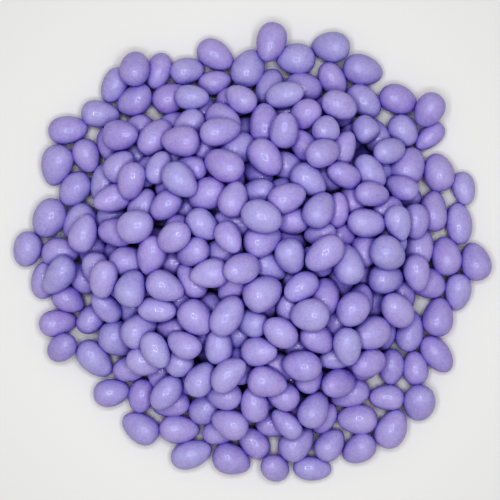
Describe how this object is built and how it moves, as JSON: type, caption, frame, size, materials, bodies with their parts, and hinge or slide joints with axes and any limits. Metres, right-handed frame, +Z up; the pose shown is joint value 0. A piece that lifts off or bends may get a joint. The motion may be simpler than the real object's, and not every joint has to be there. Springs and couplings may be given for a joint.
{
  "type": "sugared almonds",
  "caption": "Low round heap of egg-shaped sugar-coated almonds, shallow at its rim and deeper at its middle, lying on a flat surface.",
  "frame": {"origin": "middle of the heap's flat base, on the surface that it lies on", "axes": "+Z up, the heap's shortest extent; +Y towards the top of the picture, +X towards its right"},
  "size_m": [0.2934, 0.2815, 0.0629],
  "materials": {
    "sugar_shell": "smooth lavender sugar coating with a soft gloss"
  },
  "bodies": {
    "root": {"almond_heap": "sugar_shell"}
  },
  "joints": []
}
